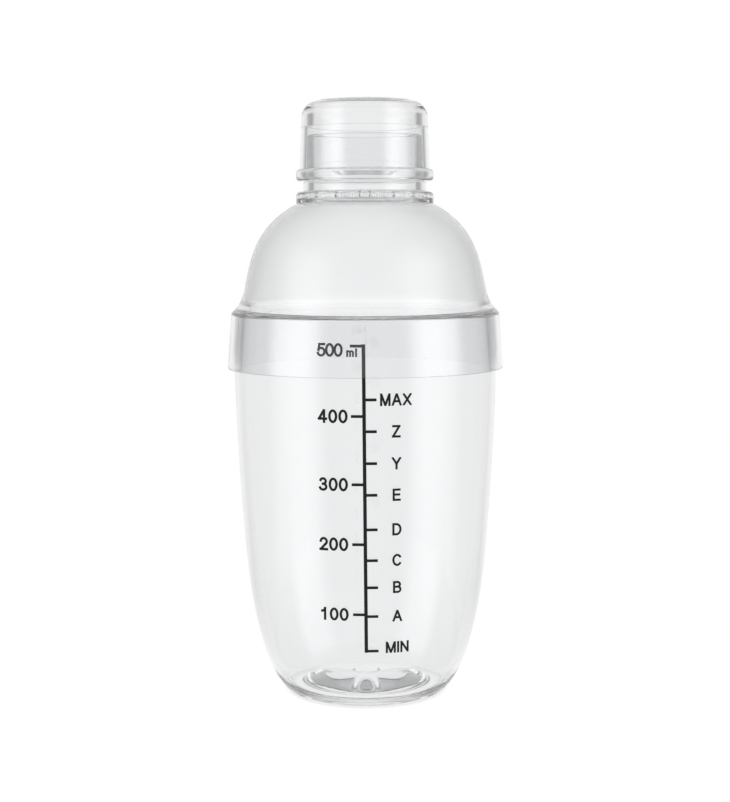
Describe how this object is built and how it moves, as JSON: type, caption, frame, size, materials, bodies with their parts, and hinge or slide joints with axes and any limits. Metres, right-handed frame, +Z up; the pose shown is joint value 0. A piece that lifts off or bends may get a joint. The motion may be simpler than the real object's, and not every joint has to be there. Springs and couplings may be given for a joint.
{
  "type": "cocktail shaker",
  "caption": "Clear plastic cocktail shaker: a tapered cup with a rounded base, a frosted domed lid with a clear skirt and a strainer in its neck, and a push-on cap.",
  "frame": {"origin": "centre of the ring that the cup stands on, on the surface under it", "axes": "+Z up along the axis of the cup, lid and cap; -Y is the front, which carries the printed scale; +X is to the right seen from the front"},
  "size_m": [0.0906, 0.0906, 0.1945],
  "materials": {
    "clear_plastic": "clear, polished, slightly grey in thick sections",
    "frosted_plastic": "clear moulding with a fine satin texture on the outside of its dome; skirt and neck polished",
    "scale_ink": "black screen-printed ink, satin"
  },
  "bodies": {
    "cup": {"cup": "clear_plastic"},
    "strainer_lid": {"strainer_lid": "frosted_plastic"},
    "cap": {"cap": "clear_plastic"}
  },
  "joints": [
    {"name": "lid_lift", "type": "slide", "parent": "cup", "child": "strainer_lid", "axis": [0, 0, 1], "range_m": [0, 0.045]},
    {"name": "cap_lift", "type": "slide", "parent": "strainer_lid", "child": "cap", "axis": [0, 0, 1], "range_m": [0, 0.035]}
  ]
}
